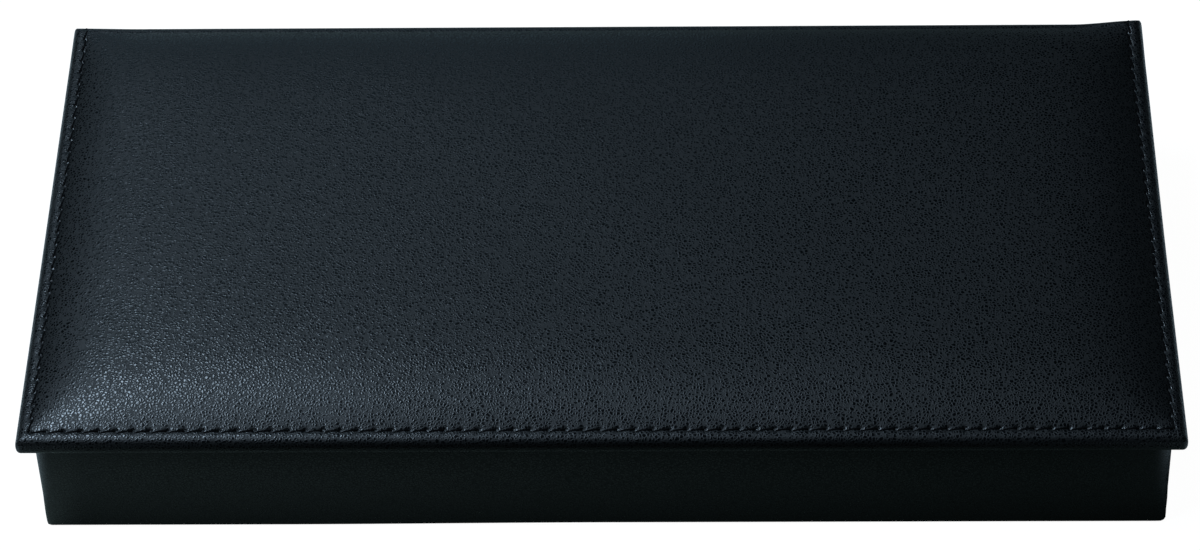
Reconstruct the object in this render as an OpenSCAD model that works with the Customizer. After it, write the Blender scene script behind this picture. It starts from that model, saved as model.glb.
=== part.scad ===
// Jewelry box: a leather-covered tray with a padded, stitched lid on a leather hinge.
// Origin: middle of the footprint, on the table. +X to the right, +Y to the hinge, +Z up. Millimetres.

/* [Overall] */
// Width of the lid, left to right
lid_w = 250; // [200:1:340]
// Depth of the lid, front to hinge
lid_d = 130; // [105:1:180]
// Height of the tray's rim above the table
rim_z = 27.5; // [22:0.5:60]

/* [Leather] */
// Thickness of the leather
leather_t = 1; // [0.6:0.1:1.4]
// Distance from the lid's edge to the row of stitches
stitch_inset = 3; // [2.4:0.1:6]
// Length from one stitch to the next
stitch_pitch = 3.7; // [2.5:0.1:6]
// Diameter of the sewing thread
thread_d = 0.5; // [0.3:0.1:0.8]

/* [Lid] */
// Thickness of the lid at its rolled edge
lid_edge_t = 4; // [3.6:0.1:8]
// How far the lid stands out past the tray at the front and the two ends
overhang = 3.5; // [1:0.1:8]
// Rise of the padded top above the rolled edge
crown_h = 5; // [3:0.1:10]
// Distance over which the padded top rises
crown_run = 18; // [15:1:45]
// Width of the leather turned in under the lid's board
lid_turn_in = 12; // [9:0.5:20]
// Air between the tray's rim and the lid
lid_gap = 0.3; // [0.1:0.1:1]

/* [Tray] */
// Thickness of the wooden walls
wall_t = 5; // [4:0.5:8]
// Thickness of the bottom board
bottom_t = 3; // [2:0.5:5]
// Radius of the tray's upright corners, over the leather
corner_r = 3; // [1.5:0.5:5]
// Width of the leather turned in under the bottom board
base_turn_in = 12; // [6:0.5:20]
// Thickness of the cloth glued under the tray
cover_t = 0.5; // [0.4:0.1:2]
// How far that cloth stays back from the tray's edge
cover_inset = 3; // [2:0.5:6]

/* [Lining] */
// Thickness of the suede-covered wall boards
lining_t = 2; // [1.5:0.1:3]
// Thickness of the suede-covered floor board
floor_t = 2; // [1:0.1:4]
// How far the wall linings stop below the rim
lining_drop = 3; // [2.8:0.1:6]
// Width of the bay that holds the ring rolls
ring_bay_w = 84; // [60:1:110]
// Width of the bay for bracelets and chains
bracelet_bay_w = 34; // [20:1:45]
// Thickness of the dividers
divider_t = 3; // [2:0.1:5]
// How far the dividers stop below the rim
divider_drop = 4.5; // [3.5:0.5:10]

/* [Ring rolls] */
// Number of ring rolls
roll_count = 6; // [4:1:8]
// Thickness of the board under the rolls
bed_t = 2; // [1.5:0.5:4]
// How far the tops of the rolls stay below the rim, which leaves room for a ring's stone
roll_drop = 7; // [5:0.5:8]
// Gap between two rolls, before a ring opens it
roll_gap = 0.4; // [0.2:0.1:2]

/* [Lid lining and mirror] */
// Thickness of the suede-covered frame under the lid
frame_t = 2.5; // [2.1:0.1:2.8]
// Radius of the frame's and the mirror's corners
frame_r = 3; // [2:0.5:6]
// Width of the frame at its two ends
frame_end = 32; // [10:1:60]
// Width of the frame along its front and rear
frame_side = 18; // [8:1:30]
// Thickness of the mirror glass
mirror_t = 1.5; // [1:0.1:1.8]
// How far the frame laps over the glass
mirror_lap = 2; // [1:0.1:4]
// Air between the frame and the leather inside the rim
frame_gap = 1; // [0.8:0.1:2]

/* [Magnets] */
// Length of a closing magnet
magnet_l = 20; // [10:1:30]
// Width of a closing magnet
magnet_w = 3; // [2:0.1:3.2]
// Height of a closing magnet
magnet_h = 2.5; // [1:0.1:4]
// Distance from the lid's end to the middle of a magnet
magnet_from_end = 45; // [25:1:80]
// Thickness of the steel strike plate in the lid
strike_t = 1; // [0.5:0.1:1.5]
// Width of the strike plate
strike_w = 6; // [4:0.1:8]

/* [Hidden] */
roll_names = [for (i = [1:roll_count]) str("ring_roll_", i)];

$fn = 48;
big_arc_fn = 360;           // for the large, shallow arcs of the padded top
slip = 0.1;                 // air on each side of a piece that drops in between two others
far = 400;                  // longer than any piece, for cutting tools

// Colours
black_leather = [0.05, 0.06, 0.07];
black_thread = [0.02, 0.02, 0.02];
grey_suede = [0.55, 0.52, 0.48];
fibre_board = [0.62, 0.48, 0.33];
grey_board = [0.5, 0.5, 0.48];
bare_steel = [0.7, 0.7, 0.72];
silver_mirror = [0.85, 0.88, 0.9];
white_foam = [0.92, 0.92, 0.88];
black_cloth = [0.08, 0.08, 0.08];

// The tray's outline, over the leather
tray_x = lid_w / 2 - overhang;
tray_front = -lid_d / 2 + overhang;
tray_rear = lid_d / 2 - leather_t;          // the hinge flap lies on this face

// Heights in the tray
under_z = cover_t;                          // lowest leather
board_z = under_z + leather_t;              // underside of the bottom board
wall_z = board_z + bottom_t;                // foot of the walls
wall_top = rim_z - leather_t;
floor_z = wall_z + floor_t;                 // top of the floor lining
lining_top = rim_z - lining_drop;

// Plan insets from the tray's outline
wood_in = leather_t;
hollow_in = wood_in + wall_t;               // inner faces of the walls
lip_in = hollow_in + leather_t;             // inner face of the leather lip
clear_in = hollow_in + lining_t;            // inner faces of the linings

// The clear space in the lined tray
clear_x = tray_x - clear_in;
clear_front = tray_front + clear_in;
clear_rear = tray_rear - clear_in;

// The bays, left to right
bracelet_divider_x = -clear_x + ring_bay_w;
compartment_divider_x = bracelet_divider_x + divider_t + bracelet_bay_w;
columns_x = compartment_divider_x + divider_t;
column_w = (clear_x - columns_x - divider_t) / 2;
column_divider_x = columns_x + column_w;
row_divider_y = (clear_front + clear_rear - divider_t) / 2;

divider_h = rim_z - divider_drop - floor_z;

// Ring rolls, front to rear
roll_pitch = (clear_rear - clear_front) / roll_count;
roll_w = roll_pitch - roll_gap;
roll_h = rim_z - roll_drop - floor_z - bed_t;
roll_r = min(roll_w / 2, roll_h) - slip;    // the round top is limited by the roll's own size

// The lid, whose own heights are counted from its underside
lid_z = rim_z + lid_gap;
board_under = leather_t;
board_top = lid_edge_t - leather_t;
groove = thread_d / 2 + 0.15;               // half the width of the groove that the stitches lie in
crown_x = lid_w / 2 - stitch_inset - groove;
crown_y = lid_d / 2 - stitch_inset - groove;
crown_r = (crown_h * crown_h + crown_run * crown_run) / (2 * crown_h);
crown_centre_z = lid_edge_t + crown_h - crown_r;

// The frame under the lid fits in the opening of the rim
frame_x = tray_x - lip_in - frame_gap;
frame_front = tray_front + lip_in + frame_gap;
frame_rear = tray_rear - lip_in - frame_gap;
frame_mid = (frame_front + frame_rear) / 2;
mirror_w = 2 * (frame_x - frame_end + mirror_lap);
mirror_d = frame_rear - frame_front - 2 * (frame_side - mirror_lap);

// Closing magnets stand over the middle of the front wall
magnet_x = lid_w / 2 - magnet_from_end;
magnet_y = tray_front + wood_in + wall_t / 2;

// The hinge flap, on the tray's rear face, and the rows of stitches along its edges
flap_x = tray_x - corner_r;
flap_low = wall_z;
flap_row_x = flap_x - stitch_inset;
flap_row_z = flap_low + stitch_inset;
flap_row_top = rim_z - stitch_inset / 2;

// A rectangle with round corners, or a plain one where r is 0 or less
module round_rect(w, d, r) {
    if (r > 0) {
        square([w - 2 * r, d], center = true);
        square([w, d - 2 * r], center = true);
        for (sx = [-1, 1], sy = [-1, 1])
            translate([sx * (w / 2 - r), sy * (d / 2 - r)]) circle(r = r);
    } else
        square([w, d], center = true);
}

// The tray's outline, drawn in by inset on every side
module tray_plan(inset) {
    translate([0, (tray_front + tray_rear) / 2])
        round_rect(2 * (tray_x - inset), tray_rear - tray_front - 2 * inset, corner_r - inset);
}

// A flat layer of the tray between two insets, from z to z + t
module tray_ring(outer, inner, z, t) {
    translate([0, 0, z]) linear_extrude(t) difference() {
        tray_plan(outer);
        tray_plan(inner);
    }
}

// A block given by its low and high corners
module block(low, high) {
    translate(low) cube(high - low);
}

// Shapes of the tray ------------------------------------------------------------------

module bottom_cover() {
    color(black_cloth) linear_extrude(cover_t) tray_plan(cover_inset);
}

module bottom_filler() {
    color(grey_board) translate([0, 0, under_z]) linear_extrude(leather_t)
        tray_plan(wood_in + base_turn_in + slip);
}

module bottom_board() {
    color(fibre_board) translate([0, 0, board_z]) linear_extrude(bottom_t) tray_plan(wood_in);
}

module base_leather() {
    color(black_leather) union() {
        tray_ring(0, wood_in, under_z, rim_z - under_z);
        tray_ring(wood_in / 2, wood_in + base_turn_in, under_z, leather_t);
        tray_ring(wood_in / 2, lip_in, wall_top, leather_t);
        tray_ring(hollow_in, lip_in, lining_top, lining_drop - leather_t / 2);
    }
}

// The wood of a wall between two values of y, following the tray's round corners
module wall_slice(y0, y1) {
    intersection() {
        translate([0, 0, wall_z]) linear_extrude(wall_top - wall_z) tray_plan(wood_in);
        block([-far, y0, 0], [far, y1, far]);
    }
}

// Two bars in the top of the front wall, or their pockets where gap is more than 0
module magnet_bars(gap) {
    for (side = [-1, 1])
        translate([side * magnet_x - magnet_l / 2 - gap, magnet_y - magnet_w / 2 - gap, wall_top - magnet_h])
            cube([magnet_l + 2 * gap, magnet_w + 2 * gap, magnet_h + gap]);
}

module front_wall() {
    color(fibre_board) difference() {
        wall_slice(tray_front, tray_front + hollow_in);
        magnet_bars(slip);
    }
}

module rear_wall() {
    color(fibre_board) wall_slice(tray_rear - hollow_in, tray_rear);
}

module end_wall(side) {
    color(fibre_board) translate([side * (tray_x - wood_in - wall_t / 2), 0, 0])
        block([-wall_t / 2, tray_front + hollow_in, wall_z], [wall_t / 2, tray_rear - hollow_in, wall_top]);
}

module closing_magnets() {
    color(bare_steel) magnet_bars(0);
}

// Linings -----------------------------------------------------------------------------

module floor_lining() {
    color(grey_suede) translate([0, 0, wall_z]) linear_extrude(floor_t) tray_plan(hollow_in + slip);
}

module long_lining(y) {
    half = clear_x + lining_t - slip;
    color(grey_suede) block([-half, y, floor_z], [half, y + lining_t, lining_top]);
}

module end_lining(side) {
    color(grey_suede) translate([side * (clear_x + lining_t / 2), 0, 0])
        block([-lining_t / 2, clear_front + slip, floor_z], [lining_t / 2, clear_rear - slip, lining_top]);
}

// A divider that stands on the floor lining, along +X from the origin, with a round top edge
module divider(length) {
    rotate([90, 0, 90]) linear_extrude(length) {
        square([divider_t, divider_h - divider_t / 2]);
        translate([divider_t / 2, divider_h - divider_t / 2]) circle(d = divider_t);
    }
}

module upright_divider(x) {
    translate([x + divider_t, clear_front + slip, floor_z]) rotate([0, 0, 90])
        divider(clear_rear - clear_front - 2 * slip);
}

module bracelet_divider() {
    color(grey_suede) upright_divider(bracelet_divider_x);
}

module compartment_divider() {
    color(grey_suede) upright_divider(compartment_divider_x);
}

// The slot of a half-lap joint, where the column and row dividers cross
module lap_slot(low, high) {
    block([column_divider_x - slip, row_divider_y - slip, low],
          [column_divider_x + divider_t + slip, row_divider_y + divider_t + slip, high]);
}

module column_divider() {
    color(grey_suede) difference() {
        upright_divider(column_divider_x);
        lap_slot(0, floor_z + divider_h / 2 + slip);
    }
}

module row_divider() {
    color(grey_suede) difference() {
        translate([columns_x + slip, row_divider_y, floor_z]) divider(clear_x - columns_x - 2 * slip);
        lap_slot(floor_z + divider_h / 2, far);
    }
}

module ring_bed() {
    color(grey_suede) block([-clear_x + slip, clear_front + slip, floor_z],
                            [bracelet_divider_x - slip, clear_rear - slip, floor_z + bed_t]);
}

// One foam roll, numbered from the front: straight sides and a round top
module ring_roll(i) {
    y = clear_front + (i - 1) * roll_pitch + roll_gap / 2;
    color(grey_suede) translate([-clear_x + slip, y, floor_z + bed_t])
        rotate([90, 0, 90]) linear_extrude(ring_bay_w - 2 * slip) intersection() {
            square([roll_w, roll_h]);
            union() {
                square([roll_w, roll_h - roll_r]);
                translate([roll_r, 0]) square([roll_w - 2 * roll_r, roll_h]);
                for (y = [roll_r, roll_w - roll_r])
                    translate([y, roll_h - roll_r]) circle(r = roll_r);
            }
        }
}

// Hinge -------------------------------------------------------------------------------

module hinge_flap() {
    edge = groove;
    color(black_leather) difference() {
        block([-flap_x, tray_rear, flap_low], [flap_x, lid_d / 2, rim_z]);
        translate([0, lid_d / 2 - thread_d / 2, 0]) difference() {
            block([-flap_row_x - edge, 0, flap_row_z - edge], [flap_row_x + edge, thread_d, flap_row_top]);
            block([-flap_row_x + edge, -1, flap_row_z + edge], [flap_row_x - edge, 1, far]);
        }
    }
}

// A row of stitches along +X from the origin, lying on the plane z = 0
module stitch_row(length) {
    count = floor(length / stitch_pitch);
    first = (length - count * stitch_pitch) / 2;
    for (i = [0:count - 1])
        translate([first + (i + 0.12) * stitch_pitch, -thread_d / 2, 0])
            cube([0.76 * stitch_pitch, thread_d, thread_d / 2]);
}

// Stitches along three edges of the flap, flush with its face, in the groove cut for them
module hinge_stitching() {
    color(black_thread) translate([0, lid_d / 2 - thread_d / 2, 0]) rotate([-90, 0, 0]) {
        translate([-flap_row_x, -flap_row_z, 0]) stitch_row(2 * flap_row_x);
        for (side = [-1, 1])
            translate([side * flap_row_x, -flap_row_top, 0]) rotate([0, 0, 90])
                stitch_row(flap_row_top - flap_row_z - groove);
    }
}

// Shapes of the lid, with the lid's underside at z = 0 -----------------------------------

// A bar with round long edges, seen end on: width 2 * half, from z0 to z1
module rolled_bar(half, z0, z1) {
    r = (z1 - z0) / 2;
    translate([-half + r, z0]) square([2 * (half - r), 2 * r]);
    for (side = [-1, 1]) translate([side * (half - r), z0 + r]) circle(r = r);
}

// The padded top, seen end on: flat in the middle, with an arc down to each edge
module crown_section(half, z0, shrink) {
    intersection() {
        translate([-half, z0]) square([2 * half, far]);
        union() {
            translate([-(half - crown_run), 0])
                square([2 * (half - crown_run), lid_edge_t + crown_h - shrink]);
            for (side = [-1, 1])
                translate([side * (half - crown_run), crown_centre_z])
                    circle(r = crown_r - shrink, $fn = big_arc_fn);
        }
    }
}

// What is left where a section seen from the front and one seen from the side cross
module crossed() {
    intersection() {
        rotate([90, 0, 0]) linear_extrude(far, center = true) children(0);
        rotate([90, 0, 90]) linear_extrude(far, center = true) children(1);
    }
}

module crown(z0, shrink) {
    crossed() {
        crown_section(crown_x, z0, shrink);
        crown_section(crown_y, z0, shrink);
    }
}

module board_shape() {
    crossed() {
        rolled_bar(lid_w / 2 - leather_t, board_under, board_top);
        rolled_bar(lid_d / 2 - leather_t, board_under, board_top);
    }
}

// Two plates over the magnets, or their pockets where gap is more than 0
module strike_bars(gap) {
    for (side = [-1, 1])
        translate([side * magnet_x - magnet_l / 2 - gap, magnet_y - strike_w / 2 - gap, board_under - gap])
            cube([magnet_l + 2 * gap, strike_w + 2 * gap, strike_t + gap]);
}

module lid_board() {
    color(fibre_board) translate([0, 0, lid_z]) difference() {
        board_shape();
        strike_bars(slip);
    }
}

module lid_foam() {
    color(white_foam) translate([0, 0, lid_z]) crown(board_top, leather_t);
}

module lid_leather() {
    color(black_leather) translate([0, 0, lid_z]) difference() {
        union() {
            crossed() {
                rolled_bar(lid_w / 2, 0, lid_edge_t);
                rolled_bar(lid_d / 2, 0, lid_edge_t);
            }
            crown(lid_edge_t / 2, 0);
        }
        board_shape();
        crown(board_top - slip, leather_t);
        block([-lid_w / 2 + lid_turn_in, -lid_d / 2 + lid_turn_in, -far],
              [lid_w / 2 - lid_turn_in, lid_d / 2 - lid_turn_in, board_under + slip]);
    }
}

module lid_filler() {
    gap = lid_turn_in + slip;
    color(grey_board) translate([0, 0, lid_z])
        block([-lid_w / 2 + gap, -lid_d / 2 + gap, 0], [lid_w / 2 - gap, lid_d / 2 - gap, board_under]);
}

module lid_stitching() {
    row_x = lid_w / 2 - stitch_inset;
    row_y = lid_d / 2 - stitch_inset;
    color(black_thread) translate([0, 0, lid_z + lid_edge_t]) {
        translate([-row_x, -row_y, 0]) stitch_row(2 * row_x);
        for (side = [-1, 1])
            translate([side * row_x, -row_y, 0]) rotate([0, 0, 90])
                stitch_row(2 * row_y + stitch_inset - lid_edge_t / 2);
    }
}

module strike_plates() {
    color(bare_steel) translate([0, 0, lid_z]) strike_bars(0);
}

// The frame's opening shows the mirror, and a step behind it holds the glass
module lining_frame() {
    color(grey_suede) translate([0, frame_mid, lid_z - frame_t]) difference() {
        linear_extrude(frame_t) round_rect(2 * frame_x, frame_rear - frame_front, frame_r);
        translate([0, 0, -slip]) linear_extrude(frame_t + 2 * slip)
            round_rect(mirror_w - 2 * mirror_lap, mirror_d - 2 * mirror_lap, frame_r - mirror_lap / 2);
        translate([0, 0, frame_t - mirror_t]) linear_extrude(mirror_t + slip)
            round_rect(mirror_w + 2 * slip, mirror_d + 2 * slip, frame_r + slip);
    }
}

module mirror_glass() {
    color(silver_mirror) translate([0, frame_mid, lid_z - mirror_t])
        linear_extrude(mirror_t) round_rect(mirror_w, mirror_d, frame_r);
}

// Drawing -----------------------------------------------------------------------------

bottom_cover();
bottom_filler();
bottom_board();
front_wall();
rear_wall();
end_wall(-1);  // left_wall
end_wall(1);  // right_wall
base_leather();
hinge_flap();
hinge_stitching();
closing_magnets();
floor_lining();
long_lining(clear_front - lining_t);  // front_lining
long_lining(clear_rear);  // rear_lining
end_lining(-1);  // left_lining
end_lining(1);  // right_lining
bracelet_divider();
compartment_divider();
column_divider();
row_divider();
ring_bed();
for (i = [1:roll_count])
    ring_roll(i);
lid_board();
lid_filler();
lid_foam();
lid_leather();
lid_stitching();
strike_plates();
lining_frame();
mirror_glass();  // mirror
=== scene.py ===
# %% [markdown]
# # A leather jewelry box
# This lesson dresses a finished CAD model of a small jewelry box in leather, thread, suede and mirror
# glass. The CAD model is the frame: it gives every size and place, and nothing in it is moved. Each soft
# piece is built here as its own mesh, in metres, in the same space as the frame.

# %% Load the frame
import math
import bmesh
import bpy
import numpy as np
from mathutils import Matrix, Vector


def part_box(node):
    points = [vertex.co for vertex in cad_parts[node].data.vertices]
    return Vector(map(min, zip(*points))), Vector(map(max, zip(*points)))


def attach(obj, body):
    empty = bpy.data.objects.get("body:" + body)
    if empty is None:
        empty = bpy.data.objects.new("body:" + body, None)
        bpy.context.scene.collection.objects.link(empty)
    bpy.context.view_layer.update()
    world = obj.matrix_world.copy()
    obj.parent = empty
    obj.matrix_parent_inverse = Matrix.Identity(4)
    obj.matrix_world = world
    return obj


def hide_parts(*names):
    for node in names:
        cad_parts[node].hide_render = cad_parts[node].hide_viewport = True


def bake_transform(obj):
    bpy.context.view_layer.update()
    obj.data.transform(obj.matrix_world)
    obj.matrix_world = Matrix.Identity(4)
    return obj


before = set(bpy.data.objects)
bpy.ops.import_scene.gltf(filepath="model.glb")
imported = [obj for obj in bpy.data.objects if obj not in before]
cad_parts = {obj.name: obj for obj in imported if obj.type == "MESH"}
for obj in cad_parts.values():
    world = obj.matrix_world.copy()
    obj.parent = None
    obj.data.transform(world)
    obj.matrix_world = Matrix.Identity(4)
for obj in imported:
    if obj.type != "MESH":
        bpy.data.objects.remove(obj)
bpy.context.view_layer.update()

mm = 0.001
print("the frame has", len(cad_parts), "nodes")

# %% [markdown]
# ## Sizes that the looks need
# A maker measures the carcass before cutting the leather. Here each size comes from a node's box, so that
# the looks follow if the frame is changed. The lid is a rolled edge round a padded field. The stitches lie
# on the rolled edge's top, so the lowest point of their box is the height of that edge.

# %% Measure the lid
cover_low, cover_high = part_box("lid_leather")
stitch_low, stitch_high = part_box("lid_stitching")
lid_x, lid_y = cover_high.x, cover_high.y
underside, edge_top, crown_top = cover_low.z, stitch_low.z, cover_high.z
edge_t = edge_top - underside
thread_r = stitch_high.z - stitch_low.z
row_inset = lid_x - stitch_high.x + thread_r
row_x, row_y = lid_x - row_inset, lid_y - row_inset
print("rolled edge", round(edge_t / mm, 2), "mm thick, crown rises", round((crown_top - edge_top) / mm, 2))
print("stitches run", round(row_inset / mm, 2), "mm in from the edge")

# %% [markdown]
# ## Sizes of the tray
# The tray's leather is one strip that goes over the walls, so its thickness is the step from its face to
# the wall's face. The height of the rim says where the strip turns over.

# %% Measure the tray
tray_low, tray_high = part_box("base_leather")
wall_low, wall_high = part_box("front_wall")
flap_low, flap_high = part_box("hinge_flap")
rim = tray_high.z
leather_t = wall_low.y - tray_low.y
tray_depth = tray_high.y - tray_low.y
print("tray", round(2 * tray_high.x / mm, 1), "x", round(tray_depth / mm, 1), "mm")
print("its rim is", round(rim / mm, 1), "mm up")

# %% [markdown]
# ## Camera
# A product photographer stands back and uses a long lens, which keeps the box's sides nearly straight. The
# camera is set by what a person would say about it: how far away, how steeply it looks down, how far it has
# turned to the side, and how much it leans. A rotation is built from those three angles.

# %% Set the camera
aim = Vector((-0.6, -12.6, 27.8)) * mm
distance = 900.2 * mm
look_down, turn, lean = math.radians(46.53), math.radians(1.67), math.radians(-1.43)

lens = bpy.data.cameras.new("camera")
lens.sensor_width = 36
lens.lens = 121.6
lens.clip_start, lens.clip_end = 0.01, 20
camera = bpy.data.objects.new("camera", lens)
bpy.context.scene.collection.objects.link(camera)
bpy.context.scene.camera = camera
rotation = (Matrix.Rotation(turn, 3, "Z") @ Matrix.Rotation(math.pi / 2 - look_down, 3, "X")
            @ Matrix.Rotation(lean, 3, "Z"))
camera.matrix_world = Matrix.Translation(aim + rotation @ Vector((0, 0, distance))) @ rotation.to_4x4()
print("the camera stands at", [round(v / mm) for v in camera.matrix_world.translation], "mm")

# %% [markdown]
# ## Building blocks for shader groups
# Leather grain, suede nap and thread ply are effects that more than one material shares. Each becomes a
# node group, which is a small machine with named inputs and outputs. The helper below starts a group and
# adds its sockets, so that each group's own cell only holds what makes its effect.

# %% Helpers for node trees
def new_group(name, inputs, outputs):
    """An empty shader group of numbers. inputs is {name: starting value}, outputs is a list of names."""
    tree = bpy.data.node_groups.new(name, "ShaderNodeTree")
    for label, value in inputs.items():
        tree.interface.new_socket(label, in_out="INPUT", socket_type="NodeSocketFloat").default_value = value
    for label in outputs:
        tree.interface.new_socket(label, in_out="OUTPUT", socket_type="NodeSocketFloat")
    return tree, tree.nodes.new("NodeGroupInput"), tree.nodes.new("NodeGroupOutput")

def node(tree, kind, links=(), **settings):
    """Adds a node, sets its properties and input values, and links (output, input name) pairs into it."""
    made = tree.nodes.new(kind)
    for key, value in settings.items():
        if hasattr(made, key):
            setattr(made, key, value)
    for key, value in settings.items():
        if not hasattr(made, key):
            made.inputs[key.replace("_", " ")].default_value = value
    for output, key in links:
        tree.links.new(output, made.inputs[key])
    return made

def maths(tree, operation, first, second=0.0):
    """A Math node on two values, each of which may be a number or another node's output."""
    made = tree.nodes.new("ShaderNodeMath")
    made.operation = operation
    for slot_number, value in enumerate((first, second)):
        if isinstance(value, (int, float)):
            made.inputs[slot_number].default_value = value
        else:
            tree.links.new(value, made.inputs[slot_number])
    return made.outputs[0]

print("helpers ready")

# %% [markdown]
# ## Leather grain
# Smooth calf leather has a net of fine furrows round pebbles under a millimetre across, with finer wrinkles
# on the pebbles. A Voronoi texture's distance to the cell edge draws the furrows. Its straight cell walls
# look like cracked glass, so a noise bends the coordinates first. The group puts out a height for bump, a
# mask for the furrows, and a slow change of tone as on any real hide.

# %% Make the grain group
grain, g_in, g_out = new_group("leather_grain", {"Pebble Size": 0.0008, "Wrinkle": 0.2},
                               ["Height", "Furrow", "Tone"])
where = node(grain, "ShaderNodeTexCoord").outputs["Object"]
cells_per_metre = maths(grain, "DIVIDE", 1.0, g_in.outputs["Pebble Size"])
bend_scale = maths(grain, "MULTIPLY", cells_per_metre, 0.6)
bend = node(grain, "ShaderNodeTexNoise", [(where, "Vector"), (bend_scale, "Scale")], Detail=2.0)
shift = node(grain, "ShaderNodeVectorMath", [(bend.outputs["Color"], 0)], operation="SUBTRACT")
shift.inputs[1].default_value = (0.5, 0.5, 0.5)
spread = node(grain, "ShaderNodeVectorMath", [(shift.outputs[0], 0), (g_in.outputs["Pebble Size"], "Scale")],
              operation="SCALE")
bent = node(grain, "ShaderNodeVectorMath", [(where, 0), (spread.outputs[0], 1)], operation="ADD")
cells = node(grain, "ShaderNodeTexVoronoi", [(bent.outputs[0], "Vector"), (cells_per_metre, "Scale")],
             feature="DISTANCE_TO_EDGE")
pebble = node(grain, "ShaderNodeMapRange", [(cells.outputs["Distance"], "Value")],
              interpolation_type="SMOOTHSTEP", From_Min=0.0, From_Max=0.26)
from_furrow = node(grain, "ShaderNodeMapRange", [(cells.outputs["Distance"], "Value")],
                   From_Min=0.0, From_Max=0.42)
dome = maths(grain, "MULTIPLY", from_furrow.outputs["Result"],
             maths(grain, "SUBTRACT", 2.0, from_furrow.outputs["Result"]))
fine_scale = maths(grain, "MULTIPLY", cells_per_metre, 3.0)
fine = node(grain, "ShaderNodeTexNoise", [(where, "Vector"), (fine_scale, "Scale")],
            Detail=3.0, Roughness=0.6)
wrinkle = maths(grain, "MULTIPLY", fine.outputs["Fac"], g_in.outputs["Wrinkle"])
slow = node(grain, "ShaderNodeTexNoise", [(where, "Vector")], Scale=28.0, Detail=3.0, Roughness=0.55)
grain.links.new(maths(grain, "ADD", dome, wrinkle), g_out.inputs["Height"])
grain.links.new(maths(grain, "SUBTRACT", 1.0, pebble.outputs["Result"]), g_out.inputs["Furrow"])
grain.links.new(slow.outputs["Fac"], g_out.inputs["Tone"])
print("grain group has", len(grain.nodes), "nodes")

# %% [markdown]
# ## Suede nap
# Suede, felt and thread are all loose fibre. Under a lamp they show specks of light and dark fibre, and
# broad patches where the nap has been brushed one way or the other. Two noises of different sizes give
# both.

# %% Make the nap group
nap, n_in, n_out = new_group("fibre_nap", {"Fibre Size": 0.0003, "Patch Size": 0.02},
                             ["Height", "Speck", "Patch"])
where = node(nap, "ShaderNodeTexCoord").outputs["Object"]
fibre = node(nap, "ShaderNodeTexNoise",
             [(where, "Vector"), (maths(nap, "DIVIDE", 1.0, n_in.outputs["Fibre Size"]), "Scale")],
             Detail=4.0, Roughness=0.7)
brushed = node(nap, "ShaderNodeTexNoise",
               [(where, "Vector"), (maths(nap, "DIVIDE", 1.0, n_in.outputs["Patch Size"]), "Scale")],
               Detail=2.0, Distortion=0.6)
patch = node(nap, "ShaderNodeMapRange", [(brushed.outputs["Fac"], "Value")], interpolation_type="SMOOTHSTEP",
             From_Min=0.38, From_Max=0.62)
nap.links.new(fibre.outputs["Fac"], n_out.inputs["Height"])
nap.links.new(fibre.outputs["Fac"], n_out.inputs["Speck"])
nap.links.new(patch.outputs["Result"], n_out.inputs["Patch"])
print("nap group has", len(nap.nodes), "nodes")

# %% [markdown]
# ## Materials
# Every material starts from one Principled shader. A helper sets the values that are the same all over on
# the shader's own sockets. What changes over the surface comes from the groups, through a colour mix, a
# roughness range and a Bump node.

# %% A helper for materials
def start_material(name, **values):
    """A material with one Principled shader, whose sockets take the given values."""
    look = bpy.data.materials.new(name)
    look.use_nodes = True
    tree = look.node_tree
    tree.nodes.clear()
    shader = tree.nodes.new("ShaderNodeBsdfPrincipled")
    tree.links.new(shader.outputs[0], tree.nodes.new("ShaderNodeOutputMaterial").inputs["Surface"])
    for key, value in values.items():
        shader.inputs[key.replace("_", " ")].default_value = value
    return look, tree, shader

def place_group(tree, group, **values):
    """Puts a shader group into a material's tree with its own values."""
    placed = tree.nodes.new("ShaderNodeGroup")
    placed.node_tree = group
    for key, value in values.items():
        placed.inputs[key.replace("_", " ")].default_value = value
    return placed.outputs

def blend_colours(tree, mask, first, second):
    """A colour that runs from the first to the second as the mask goes from 0 to 1."""
    mix = tree.nodes.new("ShaderNodeMix")
    mix.data_type = "RGBA"
    tree.links.new(mask, mix.inputs[0])
    for key, colour in ((6, first), (7, second)):
        if isinstance(colour, tuple):
            mix.inputs[key].default_value = (*colour, 1)
        else:
            tree.links.new(colour, mix.inputs[key])
    return mix.outputs[2]

def ranged(tree, value, low, high):
    """A value from 0 to 1, mapped to run from low to high."""
    return node(tree, "ShaderNodeMapRange", [(value, "Value")], To_Min=low, To_Max=high).outputs["Result"]

def add_bump(tree, shader, height, depth, strength=1.0):
    """A Bump node of that depth in metres, in front of the shader's normal."""
    bump = node(tree, "ShaderNodeBump", [(height, "Height")], Strength=strength, Distance=depth)
    tree.links.new(bump.outputs[0], shader.inputs["Normal"])

print("material helpers ready")

# %% [markdown]
# ## Light
# Black leather shows what it reflects, so its light is made of shapes. A long narrow lamp hangs overhead
# and to the left: its glow lands where the padding slopes down to the front and left stitches, and the
# right side stays dark. A tall dim panel stands behind the box and gives the flat of the lid its even grey.
# Both are area lights, which give soft edges, and neither is seen by the camera.

# %% Hang the lights
def soft_light(name, direction, away, width, depth, power, tint):
    """A rectangular light that far away in that direction, facing the box."""
    data = bpy.data.lights.new(name, "AREA")
    data.shape = "RECTANGLE"
    data.size, data.size_y, data.energy, data.color = width, depth, power, tint
    light = bpy.data.objects.new(name, data)
    bpy.context.scene.collection.objects.link(light)
    toward = Vector(direction).normalized()
    light.visible_camera = False
    facing = toward.to_track_quat("Z", "Y").to_matrix().to_4x4()
    light.matrix_world = Matrix.Translation(toward * away) @ facing
    print(name, "hangs", round(away * toward.z, 2), "m up")

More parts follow.
